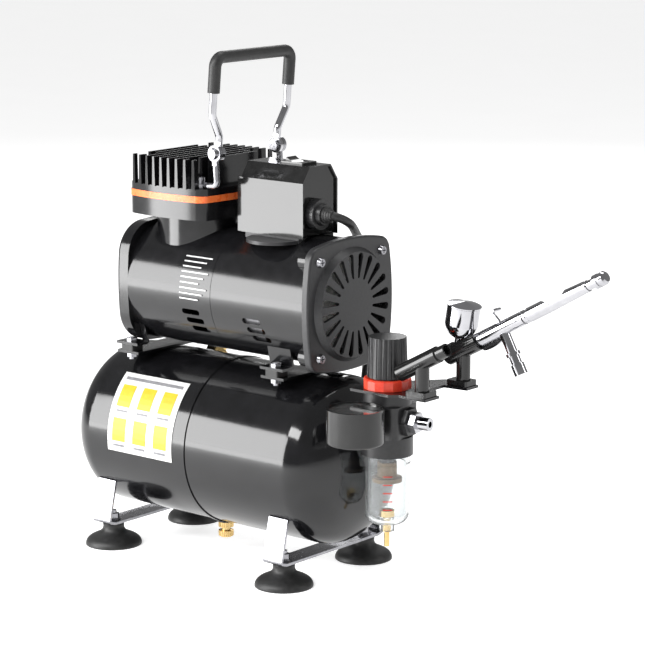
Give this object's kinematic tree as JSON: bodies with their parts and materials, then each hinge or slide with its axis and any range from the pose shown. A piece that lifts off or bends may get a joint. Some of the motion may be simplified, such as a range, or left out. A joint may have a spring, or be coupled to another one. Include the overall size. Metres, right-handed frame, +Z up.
{
  "type": "airbrush compressor",
  "caption": "Portable airbrush compressor: piston motor on an air tank with regulator, bowl filter, gauge, carrying handle and a holder carrying an airbrush.",
  "frame": {"origin": "on the floor, midway between the four suction cup feet", "axes": "+X along the tank toward the regulator end, +Y to the rear where the cord leaves, +Z up"},
  "size_m": [0.45, 0.2585, 0.3913],
  "materials": {
    "aluminium": "machined",
    "brass": "satin",
    "bronze": "sintered",
    "chrome": "polished",
    "clear_bowl": "clear polycarbonate",
    "clear_lens": "clear",
    "copper_wire": "enamelled",
    "cover_black": "satin",
    "gauge_red": "matt",
    "gloss_black": "moulded",
    "motor_black": "gloss paint",
    "plastic_black": "moulded",
    "plastic_red": "moulded",
    "plate_orange": "anodised",
    "plated_steel": "zinc plated",
    "rubber_black": "matt",
    "steel_core": "laminated",
    "tank_black": "gloss powder coat",
    "white_plastic": "moulded"
  },
  "bodies": {
    "base": {"air_hose": "rubber_black", "airbrush_holders": "gloss_black", "box_cover": "gloss_black", "box_saddle": "cover_black", "cable_gland": "plastic_black", "capacitor": "aluminium", "cord_coil": "rubber_black", "crankcase_end_bell": "motor_black", "cylinder": "motor_black", "cylinder_head": "motor_black", "fan_cover": "cover_black", "filter_bowl": "clear_bowl", "filter_element": "bronze", "frame_bolts": "plated_steel", "gauge_case": "gloss_black", "gauge_lens": "clear_lens", "handle_brackets": "plated_steel", "holder_plate": "motor_black", "hose_fittings": "brass", "legs": "plated_steel", "lock_ring": "plastic_red", "motor_bearings": "plated_steel", "motor_feet": "motor_black", "motor_shell_left": "motor_black", "motor_shell_right": "motor_black", "mount_plates": "motor_black", "power_cord": "rubber_black", "power_plug": "rubber_black", "rear_end_bell": "motor_black", "regulator_body": "plastic_black", "regulator_fittings": "chrome", "rubber_mounts": "rubber_black", "screws": "plated_steel", "stator_core": "steel_core", "stator_windings": "copper_wire", "suction_cups": "rubber_black", "switch_housing": "gloss_black", "tank_shell_left": "tank_black", "tank_shell_right": "tank_black", "valve_plate": "plate_orange"},
    "rotor": {"rotor_core": "steel_core", "crankshaft": "plated_steel", "cooling_fan": "white_plastic"},
    "piston": {"piston_and_rod": "aluminium"},
    "handle": {"handle_wire": "chrome", "handle_grip": "rubber_black"},
    "rocker": {"switch_rocker": "gloss_black"},
    "spindle": {"regulator_spindle": "brass"},
    "knob": {"regulator_knob": "plastic_black"},
    "needle": {"gauge_needle": "gauge_red"},
    "bowl_drain": {"bowl_drain_valve": "brass"},
    "tank_drain": {"drain_cock": "brass"},
    "airbrush": {"airbrush_body": "chrome", "colour_cup": "chrome", "airbrush_handle": "chrome"},
    "plunger": {"valve_plunger": "plated_steel"},
    "trigger": {"trigger": "chrome"},
    "paint_needle": {"needle_chuck": "plated_steel"},
    "lid": {"cup_lid": "chrome"},
    "tail": {"tail_knob": "chrome"}
  },
  "joints": [
    {"name": "rotor_spin", "type": "hinge", "parent": "base", "child": "rotor", "pos_m": [0, 0, 0.20865], "axis": [1, 0, 0], "continuous": true},
    {"name": "piston_stroke", "type": "slide", "parent": "base", "child": "piston", "axis": [0, 0, 1], "range_m": [-0.008, 0.008]},
    {"name": "handle_swing", "type": "hinge", "parent": "base", "child": "handle", "pos_m": [0.013, 0, 0.315], "axis": [0, 1, 0], "range_deg": [-85, 80]},
    {"name": "rocker_tilt", "type": "hinge", "parent": "base", "child": "rocker", "pos_m": [0.063, 0, 0.3075], "axis": [0, 1, 0], "range_deg": [-20, 0]},
    {"name": "spindle_turn", "type": "hinge", "parent": "base", "child": "spindle", "pos_m": [0.1565, -0.011, 0.165], "axis": [0, 0, 1], "range_deg": [-360, 360]},
    {"name": "knob_lift", "type": "slide", "parent": "spindle", "child": "knob", "axis": [0, 0, 1], "range_m": [0, 0.0035]},
    {"name": "needle_swing", "type": "hinge", "parent": "base", "child": "needle", "pos_m": [0.1614, -0.054, 0.137], "axis": [0, 0, 1], "range_deg": [-270, 0]},
    {"name": "bowl_drain_push", "type": "slide", "parent": "base", "child": "bowl_drain", "axis": [0, 0, 1], "range_m": [0, 0.0025], "stiffness_N_per_m": 400, "springref_m": -0.001},
    {"name": "tank_drain_turn", "type": "hinge", "parent": "base", "child": "tank_drain", "pos_m": [-0.0117, 0, 0.018], "axis": [0, 0, 1], "range_deg": [0, 360]},
    {"name": "airbrush_lift", "type": "slide", "parent": "base", "child": "airbrush", "axis": [0.8788, 0, 0.4772], "range_m": [0, 0.045]},
    {"name": "plunger_press", "type": "slide", "parent": "airbrush", "child": "plunger", "axis": [0.4772, 0, -0.8788], "range_m": [0, 0.002], "stiffness_N_per_m": 800, "springref_m": -0.001},
    {"name": "trigger_pull", "type": "hinge", "parent": "plunger", "child": "trigger", "pos_m": [0.22999, 0.031, 0.19678], "axis": [0, 1, 0], "range_deg": [0, 12]},
    {"name": "paint_needle_draw", "type": "slide", "parent": "airbrush", "child": "paint_needle", "axis": [0.8788, 0, 0.4772], "range_m": [0, 0.002], "stiffness_N_per_m": 150, "springref_m": -0.001},
    {"name": "lid_lift", "type": "slide", "parent": "airbrush", "child": "lid", "axis": [0.1651, 0, 0.9863], "range_m": [0, 0.012]},
    {"name": "tail_turn", "type": "hinge", "parent": "airbrush", "child": "tail", "pos_m": [0.2076, 0.031, 0.1894], "axis": [0.8788, 0, 0.4772], "continuous": true}
  ],
  "couplings": [
    {"joint": "trigger_pull", "follows": "paint_needle_draw", "rad_per_m": 100}
  ]
}
